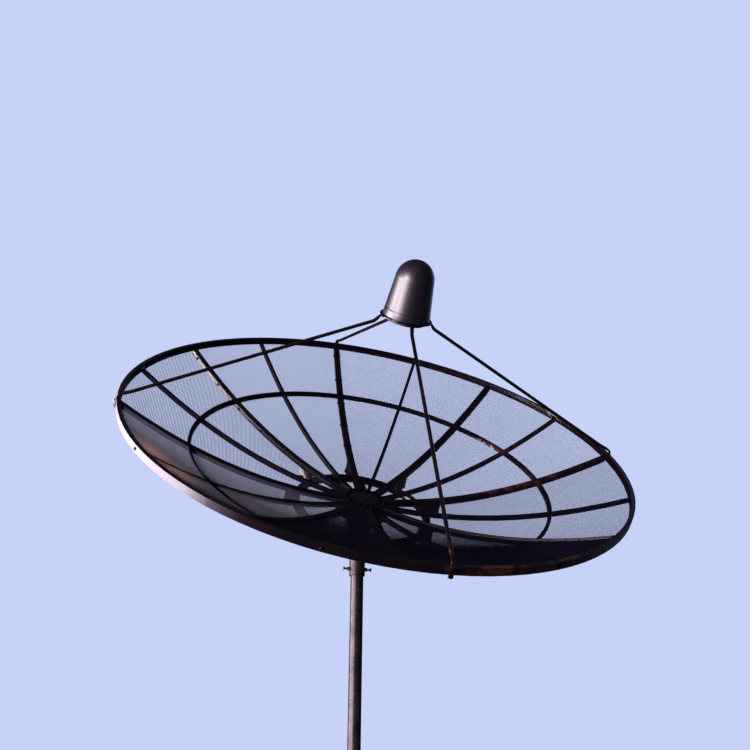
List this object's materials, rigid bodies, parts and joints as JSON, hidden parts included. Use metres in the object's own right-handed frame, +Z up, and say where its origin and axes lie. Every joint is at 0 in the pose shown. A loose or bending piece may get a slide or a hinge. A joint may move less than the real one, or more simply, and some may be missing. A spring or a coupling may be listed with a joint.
{
  "type": "mesh dish antenna",
  "caption": "Large black mesh dish antenna with a feed on struts over its bowl, tilting and turning on a flanged steel pole.",
  "frame": {"origin": "centre of the underside of the base flange, on the axis of the pole", "axes": "+Z up along the pole, +X along the elevation hinge pin, the dish looks towards -Y and upwards"},
  "size_m": [3.0126, 2.2561, 3.7753],
  "materials": {
    "frame_coating": "black powder coat, weathered to brown in places",
    "mesh_coating": "black coated expanded metal",
    "cover_plastic": "glossy moulded plastic",
    "feed_casting": "as cast",
    "galvanised_steel": "dull galvanised",
    "bolt_steel": "zinc plated"
  },
  "bodies": {
    "base": {"base_flange": "galvanised_steel", "pole": "galvanised_steel"},
    "mount_head": {"pole_sleeve": "galvanised_steel", "yoke": "galvanised_steel", "hinge_pin": "bolt_steel", "elevation_clamp_bolt": "bolt_steel", "set_bolt_left": "bolt_steel", "set_bolt_right": "bolt_steel"},
    "reflector": {"mesh_panel_1": "mesh_coating", "mesh_panel_2": "mesh_coating", "mesh_panel_3": "mesh_coating", "mesh_panel_4": "mesh_coating", "mesh_panel_5": "mesh_coating", "mesh_panel_6": "mesh_coating", "mesh_panel_7": "mesh_coating", "mesh_panel_8": "mesh_coating", "panel_frame_1": "frame_coating", "panel_frame_2": "frame_coating", "panel_frame_3": "frame_coating", "panel_frame_4": "frame_coating", "panel_frame_5": "frame_coating", "panel_frame_6": "frame_coating", "panel_frame_7": "frame_coating", "panel_frame_8": "frame_coating", "seam_rib_1": "frame_coating", "seam_rib_2": "frame_coating", "seam_rib_3": "frame_coating", "seam_rib_4": "frame_coating", "seam_rib_5": "frame_coating", "seam_rib_6": "frame_coating", "seam_rib_7": "frame_coating", "seam_rib_8": "frame_coating", "hub_front_plate": "frame_coating", "hub_drum": "frame_coating", "mount_ring_right": "frame_coating", "mount_ring_left": "frame_coating", "feed_support_ring": "frame_coating", "scalar_ring": "feed_casting", "feed_horn": "feed_casting", "feed_receiver": "feed_casting", "feed_cover": "cover_plastic", "feed_leg_right": "frame_coating", "feed_leg_upper": "frame_coating", "feed_leg_left": "frame_coating", "feed_leg_lower": "frame_coating", "back_channel_right": "frame_coating", "back_channel_left": "frame_coating", "elevation_quadrant": "frame_coating"}
  },
  "joints": [
    {"name": "azimuth_swivel", "type": "hinge", "parent": "base", "child": "mount_head", "pos_m": [0, 0, 2.25], "axis": [0, 0, 1], "continuous": true},
    {"name": "elevation_hinge", "type": "hinge", "parent": "mount_head", "child": "reflector", "pos_m": [0, 0, 2.25], "axis": [-1, 0, 0], "range_deg": [-37, 38]}
  ]
}
